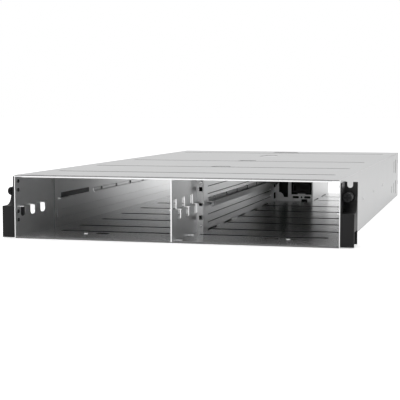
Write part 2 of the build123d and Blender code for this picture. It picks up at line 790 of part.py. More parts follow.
vent_low = supply_bay_top + inner_sheet
rear_plane = Plane(origin=(0, at(body_depth), 0), x_dir=(1, 0, 0), z_dir=(0, -1, 0))
port_middles = [cage_inner - port_margin - port_width / 2 - port_pitch * number for number in range(2)]
port_base = vent_low + port_rise
bracket_edge = port_middles[-1] - port_width / 2 - port_margin
bracket = rear_face(bracket_edge, cage_inner)
for middle in port_middles:
    bracket -= Pos(middle, port_base + port_height / 2) * Rectangle(port_width, port_height)
write("port_bracket", extrude(rear_plane * bracket, amount=-vent_sheet))
vent_face = rear_face(-cage_inner, bracket_edge)
vent_rise = vent_pitch * math.sqrt(3) / 2
columns = int((bracket_edge + cage_inner - 2 * vent_margin) // vent_pitch)
rows = int((divider_top - vent_low - 2 * vent_margin) // vent_rise)
hexagon = RegularPolygon(vent_hex / math.sqrt(3), 6)
vent_holes = [Pos(vent_margin - cage_inner + (column + 0.5 * (row % 2) + 0.25) * vent_pitch,
                  vent_low + vent_margin + (row + 0.5) * vent_rise) * hexagon
              for row in range(rows) for column in range(columns)]
write("rear_vent_panel", extrude(rear_plane * (vent_face - vent_holes), amount=-vent_sheet))
port_back = body_depth - vent_sheet
jacks = []
for middle in port_middles:
    jack = block((middle - port_width / 2 - port_wall, middle + port_width / 2 + port_wall),
                 (port_back - port_depth, port_back),
                 (vent_low, port_base + port_height + port_wall))
    jack -= block((middle - port_width / 2, middle + port_width / 2),
                  (port_back - port_depth + port_wall, port_back + 1), (port_base, port_base + port_height))
    jacks.append(jack)
write("management_ports", *jacks)


# Rack ears: black folded brackets with an open notch, a moulded cap and a captive thumbscrew
leg_face = half_width + ear_sheet
flange_back = ear_setback + ear_flange_sheet
leg = block((half_width, leg_face), (0, ear_leg), (ear_low, ear_high))
leg = chamfer(leg.edges().filter_by(Axis.X).group_by(Axis.Z)[-1].sort_by(Axis.Y)[0], ear_corner)
ear = leg + block((half_width, ear_half), (ear_setback, flange_back), (ear_low, ear_high))
notch_plane = facing((ear_hole_offset, at(ear_setback - 1), ear_notch_low + ear_notch_width / 2),
                     (0, 1, 0), (1, 0, 0))
ear -= extrude(notch_plane * Circle(ear_notch_width / 2), amount=ear_flange_sheet + 2)
ear -= block((ear_hole_offset - ear_notch_width / 2, ear_hole_offset + ear_notch_width / 2),
             (ear_setback - 1, flange_back + 1), (ear_notch_low + ear_notch_width / 2, ear_high + 1))


def screw_plane(depth):
    """Plane across the thumbscrew's axis, looking back."""
    return facing((ear_hole_offset, at(depth), knob_level), (0, 1, 0), (1, 0, 0))


ear -= extrude(screw_plane(ear_setback - 1) * Circle(ferrule_radius), amount=ear_flange_sheet + 2)
write("ear_bracket_right", ear)
write("ear_bracket_left", mirrored(ear))

cap_outer = (leg_face + cap_wall_gap, ear_half)
sweep_radius = cap_arc_radius
sweep_low = (cap_sweep_start, cap_height)
sweep_high = (cap_sweep_start + sweep_radius, cap_height + sweep_radius)
sweep_mid = (cap_sweep_start + sweep_radius * math.sin(math.pi / 4),
             cap_height + sweep_radius * (1 - math.cos(math.pi / 4)))
cap_outline = Polyline((cap_sweep_start, cap_height), (0, cap_height), (0, cap_low), (cap_tongue, cap_low),
                       (cap_tongue, cap_deep_low), (ear_setback, cap_deep_low),
                       (ear_setback, cap_sweep_high + cap_horn),
                       (ear_setback - cap_horn_sheet, cap_sweep_high), sweep_high)
cap_outline += ThreePointArc(sweep_low, sweep_mid, sweep_high)
cap_plane = facing((cap_outer[0], at(0), 0), (1, 0, 0), (0, 1, 0))
cap = extrude(cap_plane * make_face(cap_outline), amount=cap_outer[1] - cap_outer[0])
cap -= extrude(screw_plane(0) * Circle(knob_radius + cap_knob_gap), amount=ear_setback)
write("ear_cap_right", cap)
write("ear_cap_left", mirrored(cap))

knob = extrude(screw_plane(knob_front) * Circle(knob_radius), amount=knob_end - knob_front)
knob = chamfer(knob.edges().group_by(Axis.Y)[0], knob_chamfer)
flute = Pos(knob_radius, 0) * Rot(0, 0, 45) * Rectangle(flute_width, flute_width)
flutes = Sketch() + [Rot(0, 0, 360 * number / knob_flutes) * flute for number in range(knob_flutes)]
knob -= extrude(screw_plane(knob_front + knob_chamfer) * flutes, amount=knob_grip)
cross = Rectangle(cross_length, cross_width) + Rectangle(cross_width, cross_length)
knob -= extrude(screw_plane(knob_front) * cross, amount=cross_depth)
stud_start = flange_back + shank_proud
knob += extrude(screw_plane(knob_end) * Circle(shank_radius), amount=stud_start - knob_end)
knob += extrude(screw_plane(stud_start) * Circle(stud_radius), amount=stud_length)
write("thumbscrew_right", knob)
write("thumbscrew_left", mirrored(knob))

ferrule_start = knob_end + ferrule_end_gap
ferrule = extrude(screw_plane(ferrule_start) * Circle(ferrule_radius), amount=flange_back - ferrule_start)
ferrule -= extrude(screw_plane(ferrule_start - 1) * Circle(shank_radius + ferrule_gap),
                   amount=flange_back - ferrule_start + 2)
write("thumbscrew_ferrules", ferrule, mirrored(ferrule))


# Rivets and screws, as heads on the faces they hold
rivets = [head((half_width, at(depth), shelf_height), (1, 0, 0), rivet_radius, rivet_height)
          for depth in side_rivet_depths]
write("side_rivets", *rivets, *[mirrored(rivet) for rivet in rivets])
rail_level = shelf_height + rail_flange / 2
rail_rivets = []
for face, side, start, end in ((divider_half + inner_sheet, 1, rail_start, cage_front),
                               (liner_face - inner_sheet, -1, wall_rail_start, wall_rail_end)):
    count = int((end - start - rail_rivet_pitch / 2) // rail_rivet_pitch) + 1
    for number in range(count):
        depth = start + rail_rivet_pitch * (number + 0.5)
        rivet = head((face, at(depth), rail_level), (side, 0, 0), rivet_radius, rivet_height)
        rail_rivets += [rivet, mirrored(rivet)]
write("rail_rivets", *rail_rivets)
ear_screw_levels = [*ear_screw_heights, *[body_height - margin for margin in ear_screw_top_margins]]
ear_screws = [head((wall_inside, at(ear_screw_depth), level), (-1, 0, 0), screw_radius, screw_height)
              for level in ear_screw_levels]
write("ear_screws", *ear_screws, *[mirrored(screw) for screw in ear_screws])
flange_screws = [head((hole_middle, at(divider_start), level), (0, -1, 0), screw_radius, screw_height)
                 for level in flange_screw_heights]
write("divider_screws", *flange_screws, *[mirrored(screw) for screw in flange_screws])
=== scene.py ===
import json
import math

import bpy
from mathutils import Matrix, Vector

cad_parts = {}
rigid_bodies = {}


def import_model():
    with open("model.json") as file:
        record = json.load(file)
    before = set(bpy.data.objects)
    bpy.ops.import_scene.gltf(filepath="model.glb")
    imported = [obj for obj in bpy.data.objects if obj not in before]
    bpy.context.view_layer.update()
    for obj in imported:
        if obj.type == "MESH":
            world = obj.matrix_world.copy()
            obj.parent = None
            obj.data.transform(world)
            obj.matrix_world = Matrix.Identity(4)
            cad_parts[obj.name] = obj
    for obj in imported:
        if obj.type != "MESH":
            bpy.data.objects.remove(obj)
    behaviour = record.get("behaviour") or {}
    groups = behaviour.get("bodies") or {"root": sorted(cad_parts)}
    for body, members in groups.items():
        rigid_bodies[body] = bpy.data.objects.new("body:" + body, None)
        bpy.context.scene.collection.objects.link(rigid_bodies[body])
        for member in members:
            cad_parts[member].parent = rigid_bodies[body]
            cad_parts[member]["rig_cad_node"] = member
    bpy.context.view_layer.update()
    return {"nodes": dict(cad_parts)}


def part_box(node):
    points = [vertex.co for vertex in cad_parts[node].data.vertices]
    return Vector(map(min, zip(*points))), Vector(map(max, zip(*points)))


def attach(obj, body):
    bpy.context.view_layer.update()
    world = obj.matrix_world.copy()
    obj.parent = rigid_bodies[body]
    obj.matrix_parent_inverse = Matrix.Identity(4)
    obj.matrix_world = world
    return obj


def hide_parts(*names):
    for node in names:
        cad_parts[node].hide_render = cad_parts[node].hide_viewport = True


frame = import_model()
bpy.ops.object.select_all(action="DESELECT")

# Camera
# The photograph was taken from the front right, a little above the enclosure, with a long lens.
# Its place and angles were solved from the edges of the enclosure in the picture.
front_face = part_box("floor_pan")[0][1]
camera_offset = (0.4081, -1.4122, 0.1792)
camera_yaw = math.radians(14.63)
camera_pitch = math.radians(-4.744)
sensor_width = 36
focal_length = 100.56
camera_place = (camera_offset[0], front_face + camera_offset[1], camera_offset[2])
bpy.ops.object.camera_add(location=camera_place,
                          rotation=(math.pi / 2 + camera_pitch, 0, camera_yaw))
camera = bpy.context.object
camera.name = "camera"
camera.data.sensor_width = sensor_width
camera.data.lens = focal_length
bpy.context.scene.camera = camera
bpy.context.scene.view_settings.view_transform = "Standard"

# Room
# A white studio: the camera and the polished metal see plain white all round, and the soft fill
# that lights the faces comes from the same sky at a lower level.
room_white = (1, 1, 1, 1)
room_fill = 0.75
world = bpy.data.worlds.new("white_studio")
bpy.context.scene.world = world
world.use_nodes = True
sky = world.node_tree
sky_shade = sky.nodes["Background"]
sky_shade.inputs["Color"].default_value = room_white
sky_shade.inputs["Strength"].default_value = room_fill
seen_sky = sky.nodes.new("ShaderNodeBackground")
seen_sky.inputs["Color"].default_value = room_white
sky_path = sky.nodes.new("ShaderNodeLightPath")
camera_or_gloss = sky.nodes.new("ShaderNodeMath")
camera_or_gloss.operation = "MAXIMUM"
sky.links.new(sky_path.outputs["Is Camera Ray"], camera_or_gloss.inputs[0])
sky.links.new(sky_path.outputs["Is Glossy Ray"], camera_or_gloss.inputs[1])
any_sight = sky.nodes.new("ShaderNodeMath")
any_sight.operation = "MAXIMUM"
sky.links.new(camera_or_gloss.outputs[0], any_sight.inputs[0])
sky.links.new(sky_path.outputs["Is Transmission Ray"], any_sight.inputs[1])
sky_mix = sky.nodes.new("ShaderNodeMixShader")
sky.links.new(any_sight.outputs[0], sky_mix.inputs[0])
sky.links.new(sky_shade.outputs[0], sky_mix.inputs[1])
sky.links.new(seen_sky.outputs[0], sky_mix.inputs[2])
sky.links.new(sky_mix.outputs[0], sky.nodes["World Output"].inputs["Surface"])

# Table
# A wide white table top. It is painted, so it takes the enclosure's soft shadow, and the camera
# sees it as bright as the wall behind. Right under the enclosure its colour is a painted shadow,
# near black and without glow, which the open holes show.
table_size = 30
table_white = (0.86, 0.86, 0.86, 1)
footprint_shadow_tone = (0.01, 0.01, 0.01, 1)
table_roughness = 0.9
table_glow = 0.45
footprint_margin = 0.004
bpy.ops.mesh.primitive_plane_add(size=table_size, location=(0, 0, 0))
table = bpy.context.object
table.name = "table"
table_paint = bpy.data.materials.new("white_table")
table_paint.use_nodes = True
paint = table_paint.node_tree
paint_base = paint.nodes["Principled BSDF"]
paint_base.inputs["Roughness"].default_value = table_roughness
paint_glow = paint.nodes.new("ShaderNodeEmission")
paint_glow.inputs["Color"].default_value = room_white
paint_path = paint.nodes.new("ShaderNodeLightPath")
paint_sight = paint.nodes.new("ShaderNodeMath")
paint_sight.operation = "MAXIMUM"
paint.links.new(paint_path.outputs["Is Camera Ray"], paint_sight.inputs[0])
paint.links.new(paint_path.outputs["Is Glossy Ray"], paint_sight.inputs[1])
paint_share = paint.nodes.new("ShaderNodeMath")
paint_share.operation = "MULTIPLY"
paint_share.inputs[1].default_value = table_glow
paint.links.new(paint_sight.outputs[0], paint_share.inputs[0])
paint_place = paint.nodes.new("ShaderNodeTexCoord")
paint_split = paint.nodes.new("ShaderNodeSeparateXYZ")
paint.links.new(paint_place.outputs["Object"], paint_split.inputs[0])
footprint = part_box("floor_pan")
outside = []
for axis, half in (("X", footprint[1][0]), ("Y", footprint[1][1])):
    far = paint.nodes.new("ShaderNodeMath")
    far.operation = "ABSOLUTE"
    past = paint.nodes.new("ShaderNodeMath")
    past.operation = "GREATER_THAN"
    past.inputs[1].default_value = half - footprint_margin
    paint.links.new(paint_split.outputs[axis], far.inputs[0])
    paint.links.new(far.outputs[0], past.inputs[0])
    outside.append(past)
beside = paint.nodes.new("ShaderNodeMath")
beside.operation = "MAXIMUM"
paint.links.new(outside[0].outputs[0], beside.inputs[0])
paint.links.new(outside[1].outputs[0], beside.inputs[1])
# Painted shadow: the table is near black inside the enclosure's footprint.
paint_tone = paint.nodes.new("ShaderNodeMix")
paint_tone.data_type = "RGBA"
paint_tone.inputs["A"].default_value = footprint_shadow_tone
paint_tone.inputs["B"].default_value = table_white
paint.links.new(beside.outputs[0], paint_tone.inputs["Factor"])
paint.links.new(paint_tone.outputs["Result"], paint_base.inputs["Base Color"])
open_glow = paint.nodes.new("ShaderNodeMath")
open_glow.operation = "MULTIPLY"
paint.links.new(paint_share.outputs[0], open_glow.inputs[0])
paint.links.new(beside.outputs[0], open_glow.inputs[1])
paint.links.new(open_glow.outputs[0], paint_glow.inputs["Strength"])
paint_add = paint.nodes.new("ShaderNodeAddShader")
paint.links.new(paint_base.outputs[0], paint_add.inputs[0])
paint.links.new(paint_glow.outputs[0], paint_add.inputs[1])
paint.links.new(paint_add.outputs[0], paint.nodes["Material Output"].inputs["Surface"])
table.data.materials.append(table_paint)

# Lamps
# One wide soft box hangs overhead and one stands to the left of the camera, as in product
# photography. Both are large, so that the shadows stay soft.
straight_down = (0, 0, 0)
to_the_front = (math.radians(58), 0, math.radians(-30))
for lamp_name, lamp_place, lamp_turn, lamp_width, lamp_power in (
        ("overhead_box", (0.0, -0.2, 1.9), straight_down, 2.6, 14),
        ("front_box", (-1.3, -2.4, 1.5), to_the_front, 1.4, 10)):
    bpy.ops.object.light_add(type="AREA", location=lamp_place, rotation=lamp_turn)
    lamp = bpy.context.object
    lamp.name = lamp_name
    lamp.data.size = lamp_width
    lamp.data.energy = lamp_power


# Floor pan
# One sheet of zinc-coated steel, creased across in a press and folded over at its front hem.
# The mill leaves fine rolling lines, and the zinc a milky shine with a faint mottle and wiped
# patches. Its creases, front cut edge and stop carry painted shade.
def build_zinc_grain():
    """Mottle, wiped patches and rolling lines of a zinc-coated sheet."""
    group = bpy.data.node_groups.new("zinc_grain", "ShaderNodeTree")
    for name, value in (("Mottle Scale", 60.0), ("Line Scale", 900.0)):
        socket = group.interface.new_socket(name, in_out="INPUT", socket_type="NodeSocketFloat")
        socket.default_value = value
    for name in ("Mottle", "Wipe", "Lines"):
        group.interface.new_socket(name, in_out="OUTPUT", socket_type="NodeSocketFloat")
    start = group.nodes.new("NodeGroupInput")
    end = group.nodes.new("NodeGroupOutput")
    place = group.nodes.new("ShaderNodeTexCoord")
    warp = group.nodes.new("ShaderNodeTexNoise")
    warp.inputs["Scale"].default_value = 25
    warp.inputs["Detail"].default_value = 3
    bend = group.nodes.new("ShaderNodeMix")
    bend.data_type = "VECTOR"
    bend.inputs["Factor"].default_value = 0.04
    cells = group.nodes.new("ShaderNodeTexVoronoi")
    cells.feature = "SMOOTH_F1"
    cells.inputs["Smoothness"].default_value = 0.6
    group.links.new(place.outputs["Object"], warp.inputs["Vector"])
    group.links.new(place.outputs["Object"], bend.inputs["A"])
    group.links.new(warp.outputs["Color"], bend.inputs["B"])
    group.links.new(bend.outputs["Result"], cells.inputs["Vector"])
    group.links.new(start.outputs["Mottle Scale"], cells.inputs["Scale"])
    group.links.new(cells.outputs["Color"], end.inputs["Mottle"])
    cloud = group.nodes.new("ShaderNodeTexNoise")
    cloud.inputs["Scale"].default_value = 7
    cloud.inputs["Detail"].default_value = 5
    group.links.new(place.outputs["Object"], cloud.inputs["Vector"])
    group.links.new(cloud.outputs["Fac"], end.inputs["Wipe"])
    stretch = group.nodes.new("ShaderNodeMapping")
    stretch.inputs["Scale"].default_value = (1.0, 0.02, 1.0)
    lines = group.nodes.new("ShaderNodeTexNoise")
    lines.inputs["Detail"].default_value = 2
    group.links.new(place.outputs["Object"], stretch.inputs["Vector"])
    group.links.new(stretch.outputs["Vector"], lines.inputs["Vector"])
    group.links.new(start.outputs["Line Scale"], lines.inputs["Scale"])
    group.links.new(lines.outputs["Fac"], end.inputs["Lines"])
    return group


def build_coordinate_band():
    """The mask Within, kept where one coordinate lies between Low and High."""
    group = bpy.data.node_groups.new("coordinate_band", "ShaderNodeTree")
    for name in ("Place", "Low", "High", "Within"):
        socket = group.interface.new_socket(name, in_out="INPUT", socket_type="NodeSocketFloat")
        socket.default_value = 1.0
    group.interface.new_socket("Mask", in_out="OUTPUT", socket_type="NodeSocketFloat")
    start = group.nodes.new("NodeGroupInput")
    end = group.nodes.new("NodeGroupOutput")
    above = group.nodes.new("ShaderNodeMath")
    above.operation = "GREATER_THAN"
    below = group.nodes.new("ShaderNodeMath")
    below.operation = "LESS_THAN"
    both = group.nodes.new("ShaderNodeMath")
    both.operation = "MULTIPLY"
    group.links.new(start.outputs["Place"], above.inputs[0])
    group.links.new(start.outputs["Low"], above.inputs[1])
    group.links.new(start.outputs["Place"], below.inputs[0])
    group.links.new(start.outputs["High"], below.inputs[1])
    group.links.new(above.outputs[0], both.inputs[0])
    group.links.new(below.outputs[0], both.inputs[1])
    kept = group.nodes.new("ShaderNodeMath")
    kept.operation = "MULTIPLY"
    group.links.new(both.outputs[0], kept.inputs[0])
    group.links.new(start.outputs["Within"], kept.inputs[1])
    group.links.new(kept.outputs[0], end.inputs["Mask"])
    return group


zinc_grain = build_zinc_grain()
coordinate_band = build_coordinate_band()


def steel_finish(name, tones, roughness, edge_tint, milky=0.1, rolling=0.12, bands=()):
    """Zinc-coated steel between two tones and two roughnesses. Each band has a share of the tone
    and the ranges where it holds, and a darker band is duller too. A range across the enclosure
    counts from its middle, so it lies on both sides."""
    cool_cast = (1, 1.004, 1.008)
    dullest = 0.9
    mottle_scale = 90
    mottle_share = 0.3
    rolling_depth = 0.0001
    finish = bpy.data.materials.new(name)
    finish.use_nodes = True
    tree = finish.node_tree
    metal = tree.nodes["Principled BSDF"]
    metal.inputs["Metallic"].default_value = 1 - milky
    metal.inputs["Specular Tint"].default_value = (edge_tint, edge_tint, edge_tint, 1)
    grain = tree.nodes.new("ShaderNodeGroup")
    grain.node_tree = zinc_grain
    grain.inputs["Mottle Scale"].default_value = mottle_scale
    weigh = tree.nodes.new("ShaderNodeMath")
    weigh.operation = "MULTIPLY_ADD"
    weigh.inputs[1].default_value = mottle_share
    tone = tree.nodes.new("ShaderNodeMix")
    tone.data_type = "RGBA"
    tone.inputs["A"].default_value = (*[tones[0] * channel for channel in cool_cast], 1)
    tone.inputs["B"].default_value = (*[tones[1] * channel for channel in cool_cast], 1)
    tree.links.new(grain.outputs["Mottle"], weigh.inputs[0])
    tree.links.new(grain.outputs["Wipe"], weigh.inputs[2])
    tree.links.new(weigh.outputs[0], tone.inputs["Factor"])
    haze = tree.nodes.new("ShaderNodeMapRange")
    haze.inputs["From Min"].default_value = 0.2
    haze.inputs["From Max"].default_value = 0.8
    haze.inputs["To Min"].default_value = roughness[0]
    haze.inputs["To Max"].default_value = roughness[1]
    tree.links.new(grain.outputs["Wipe"], haze.inputs["Value"])
    shown = tone
    rough = haze
    place = tree.nodes.new("ShaderNodeTexCoord")
    split = tree.nodes.new("ShaderNodeSeparateXYZ")
    tree.links.new(place.outputs["Object"], split.inputs[0])
    # The bands paint shade into creases, slots, edges and hollows, and darken walls' and covers'
    # outsides.
    for share, *ranges in bands:
        mask = None
        for axis, low, high in ranges:
            band = tree.nodes.new("ShaderNodeGroup")
            band.node_tree = coordinate_band
            band.inputs["Low"].default_value = low
            band.inputs["High"].default_value = high
            coordinate = split.outputs[axis]
            if axis == "X":
                distance = tree.nodes.new("ShaderNodeMath")
                distance.operation = "ABSOLUTE"
                tree.links.new(coordinate, distance.inputs[0])
                coordinate = distance.outputs[0]
            tree.links.new(coordinate, band.inputs["Place"])
            if mask:
                tree.links.new(mask, band.inputs["Within"])
            mask = band.outputs["Mask"]
        toned = tree.nodes.new("ShaderNodeMix")
        toned.data_type = "RGBA"
        toned.blend_type = "MULTIPLY"
        toned.inputs["B"].default_value = (share, share, share, 1)
        tree.links.new(mask, toned.inputs["Factor"])
        tree.links.new(shown.outputs["Result"], toned.inputs["A"])
        shown = toned
        dulled = tree.nodes.new("ShaderNodeMath")
        dulled.operation = "MULTIPLY"
        dulled.inputs[1].default_value = dullest * (1 - share)
        duller = tree.nodes.new("ShaderNodeMath")
        duller.operation = "MAXIMUM"
        tree.links.new(mask, dulled.inputs[0])
        tree.links.new(rough.outputs[0], duller.inputs[0])
        tree.links.new(dulled.outputs[0], duller.inputs[1])
        rough = duller
    tree.links.new(shown.outputs["Result"], metal.inputs["Base Color"])
    tree.links.new(rough.outputs[0], metal.inputs["Roughness"])
    bump = tree.nodes.new("ShaderNodeBump")
    bump.inputs["Strength"].default_value = rolling
    bump.inputs["Distance"].default_value = rolling_depth
    tree.links.new(grain.outputs["Lines"], bump.inputs["Height"])
    tree.links.new(bump.outputs["Normal"], metal.inputs["Normal"])
    return finish


def dress(finish, *names):
    """Give CAD nodes this finish in all their material slots."""
    for name in names:
        for piece_slot in frame["nodes"][name].material_slots:
            piece_slot.material = finish


face_skin = 0.0001
beyond = 0.001
cut_edge = 0.0004
floor_top = 0.0012
crease_rows = (0.097, 0.172, 0.270, 0.368, 0.474, 0.578)
crease_lip = (0.003, 0.0085)
crease_reach = ("X", 0.013, 0.194)
crease_top = floor_top - 0.00004
bay_crease_bottom = 0.0003
rear_crease_bottom = 0.00045
bay_creases_end = front_face + 0.6
rear_creases_end = front_face + 0.9
stop_face = ("Z", 0.0016, 0.004)
stop_reach = ("Y", front_face + 0.06, front_face + 0.08)
# Painted shade: beside and in the creases, on the front cut edge and on the face of the stop.
lip_shade = 0.3
bay_crease_shade = 0.02
rear_crease_shade = 0.3
front_edge_shade = 0.2
stop_shade = 0.4
crease_lips = [(lip_shade, crease_reach, ("Z", floor_top - face_skin, floor_top + face_skin),
                ("Y", front_face + row + crease_lip[0], front_face + row + crease_lip[1]))
               for row in crease_rows]
floor_steel = steel_finish(
    "floor_steel", tones=(0.92, 0.97), roughness=(0.22, 0.28), edge_tint=0.98, milky=0.18,
    bands=(*crease_lips,
           (bay_crease_shade, ("Z", bay_crease_bottom, crease_top),
            ("Y", front_face, bay_creases_end)),
           (rear_crease_shade, ("Z", rear_crease_bottom, crease_top),
            ("Y", bay_creases_end, rear_creases_end)),
           (front_edge_shade, ("Y", front_face - beyond, front_face + cut_edge)),
           (stop_shade, stop_face, stop_reach)))
dress(floor_steel, "floor_pan")

# Side walls and liners
# Plain outer walls, folded over at the top and punched for the node tabs, with creased inner skins
# against them, all of the same zinc-coated sheet as the floor. The outside is a darker tone than
# the edges and the inside. Of the slots near the rear the two tall ones are cut through, with
# painted shade on their cut faces, and the narrow ones are painted shade marks where the dark
# inside would show.
wall_outer_tone = 0.62
tall_slot_place = 0.379
tall_slot_half = 0.0022
tall_slot_rows = ("Z", 0.0079, 0.0751)
# Painted shade on the cut faces of the two tall slots.
tall_slot_shade = 0.25
narrow_slot_half = 0.0025
narrow_slot_shade = 0.05
wall_sheet = 0.0012
wall_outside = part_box("side_wall_right")[1][0]
wall_face = ("X", wall_outside - 2 * face_skin, wall_outside + beyond)
wall_edge = ("X", wall_outside - wall_sheet - face_skin, wall_outside - face_skin)
tall_slot_lips = ("Y", tall_slot_place - tall_slot_half, tall_slot_place + tall_slot_half)
# Painted shade marks in place of the narrow slots, on the outside face.
narrow_slots = [(narrow_slot_shade, ("Y", place - narrow_slot_half, place + narrow_slot_half),
                 ("Z", low, high), wall_face)
                for place, low, high in ((0.4280, 0.0659, 0.0725), (0.4280, 0.0229, 0.0305),
                                         (0.3370, 0.0515, 0.0735), (0.3370, 0.0120, 0.0310),
                                         (0.2920, 0.0150, 0.0275), (0.3755, 0.0490, 0.0750),
                                         (0.3755, 0.0080, 0.0340))]
wall_steel = steel_finish(
    "wall_steel", tones=(0.76, 0.84), roughness=(0.28, 0.38), edge_tint=0.80,
    bands=((wall_outer_tone, wall_face),
           *narrow_slots,
           (tall_slot_shade, tall_slot_lips, tall_slot_rows, wall_edge)))
dress(wall_steel, "side_wall_right", "side_wall_left")
liner_setback = 0.0011
liner_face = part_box("floor_pan")[1][0] - liner_setback
liner_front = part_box("wall_liner_right")[0][1]
liner_crease_depth = 0.0004
liner_back = liner_face + 0.0009
# Painted shade in the skins' creases, on their front cut edge and behind the tall slots.
liner_shade = 0.4
behind_half = 0.006
behind_slots = ("Y", tall_slot_place - behind_half, tall_slot_place + behind_half)
behind_slots_shade = 0.1
liner_steel = steel_finish(
    "liner_steel", tones=(0.78, 0.84), roughness=(0.28, 0.36), edge_tint=0.85,
    bands=((liner_shade, ("X", liner_face + face_skin, liner_face + liner_crease_depth)),
           (liner_shade, ("Y", liner_front - beyond, liner_front + cut_edge)),
           (behind_slots_shade, behind_slots, ("X", liner_back, wall_outside))))
dress(liner_steel, "wall_liner_right", "wall_liner_left")

# Window shade strips
# Near-black strips laid in the long windows of the inner skins, against the outer wall, as painted
# shade for the dark in those windows. Each one is a thin bar with rounded edges.
def dark_finish(name, colour, rough, speckle, depth, sheen=0.3):
    """A coating, laminate or moulding with a fine spark-eroded or orange-peel texture."""
    darker, lighter = 0.8, 1.25
    rough_spread = 0.08
    texture_height = 0.0001
    finish = bpy.data.materials.new(name)
    finish.use_nodes = True
    tree = finish.node_tree
    coat = tree.nodes["Principled BSDF"]
    place = tree.nodes.new("ShaderNodeTexCoord")
    grain = tree.nodes.new("ShaderNodeTexNoise")
    grain.inputs["Scale"].default_value = speckle
    grain.inputs["Detail"].default_value = 4
    tree.links.new(place.outputs["Object"], grain.inputs["Vector"])
    tone = tree.nodes.new("ShaderNodeMix")
    tone.data_type = "RGBA"
    tone.inputs["A"].default_value = (*[channel * darker for channel in colour], 1)
    tone.inputs["B"].default_value = (*[channel * lighter for channel in colour], 1)
    tree.links.new(grain.outputs["Fac"], tone.inputs["Factor"])
    tree.links.new(tone.outputs["Result"], coat.inputs["Base Color"])
    haze = tree.nodes.new("ShaderNodeMapRange")
    haze.inputs["To Min"].default_value = rough - rough_spread
    haze.inputs["To Max"].default_value = rough + rough_spread
    tree.links.new(grain.outputs["Fac"], haze.inputs["Value"])
    tree.links.new(haze.outputs["Result"], coat.inputs["Roughness"])
    coat.inputs["Specular IOR Level"].default_value = sheen
    bump = tree.nodes.new("ShaderNodeBump")
    bump.inputs["Strength"].default_value = depth
    bump.inputs["Distance"].default_value = texture_height
    tree.links.new(grain.outputs["Fac"], bump.inputs["Height"])
    tree.links.new(bump.outputs["Normal"], coat.inputs["Normal"])
    return finish


def bar(low, high, rounding):
    """A bar between two corners, with its edges rounded."""
    middle = [(low[axis] + high[axis]) / 2 for axis in range(3)]
    bpy.ops.object.select_all(action="DESELECT")
    bpy.ops.mesh.primitive_cube_add(size=1, location=middle)
    piece = bpy.context.object
    piece.scale = [high[axis] - low[axis] for axis in range(3)]
    bpy.ops.object.transform_apply(location=True, rotation=True, scale=True)
    bpy.ops.object.mode_set(mode="EDIT")
    bpy.ops.mesh.select_all(action="SELECT")
    bpy.ops.mesh.bevel(offset=rounding, segments=2)
    bpy.ops.object.mode_set(mode="OBJECT")
    return piece


strip_back = wall_outside - wall_sheet
strip_thickness = 0.0008
strip_start = liner_front + 0.0262
strip_end = strip_start + 0.1216
strip_low = 0.0434
strip_high = 0.0506
strip_round = 0.0003
# Painted shade: near-black bars for the dark in the windows.
window_shade_finish = dark_finish("window_shade_finish", (0.045, 0.045, 0.046),
                            rough=0.35, speckle=1200, depth=0.15)
for side, side_name in ((1, "right"), (-1, "left")):
    near, far = sorted((side * (strip_back - strip_thickness), side * strip_back))
    strip = bar((near, strip_start, strip_low), (far, strip_end, strip_high), strip_round)
    strip.name = f"window_shade_strip_{side_name}"
    strip.data.materials.append(window_shade_finish)
    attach(strip, "chassis")

# Covers
# Two flat zinc-coated sheets with cross beads: the front one ends in a hemmed lip, the rear one
# slides on hooks. Their outside is a little darker in tone than the rest, and the bead walls carry
# painted shade.
cover_outer_tone = 0.74
# Painted shade on the bead walls.
bead_shade = 0.1
cover_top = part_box("front_cover")[1][2]
cover_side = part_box("front_cover")[1][0]
bead_margin = 0.001
bead_reach = ("X", -1, cover_side - bead_margin)
bead_walls = (("Z", cover_top - 0.00112, cover_top - 0.00065),
              ("Z", cover_top - 0.00055, cover_top - 0.00005))
cover_face = ("Z", cover_top - face_skin, cover_top + beyond)
cover_edge = (("X", cover_side - 2 * face_skin, cover_side + beyond),
              ("Z", cover_top - 0.002, cover_top - face_skin))
cover_steel = steel_finish("cover_steel", tones=(0.76, 0.84), roughness=(0.30, 0.40),
                           edge_tint=0.70,
                           bands=((cover_outer_tone, cover_face),
                                  *[(bead_shade, wall, bead_reach) for wall in bead_walls],
                                  (cover_outer_tone, *cover_edge)))
dress(cover_steel, "front_cover", "rear_cover")

# Divider
# A punched blade at the front, whose tabs turn left and right, and two beaded skins behind it, each
# screwed on through its front flange. The two slots at the rear of a skin are painted shade marks
# here. Painted shade also lies on the rear end of the blade, the skins' front flanges and a line
# under each bead.
blade_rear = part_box("divider_blade")[1][1]
blade_rear_reach = 0.005
# Painted shade on the rear end of the blade.
blade_rear_shade = 0.25
blade_steel = steel_finish(
    "blade_steel", tones=(0.76, 0.84), roughness=(0.26, 0.36), edge_tint=0.86,
    bands=((blade_rear_shade, ("Y", blade_rear - blade_rear_reach, blade_rear + cut_edge)),))
dress(blade_steel, "divider_blade")
divider_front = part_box("divider_panel_right")[0][1]
divider_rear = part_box("divider_panel_right")[1][1]
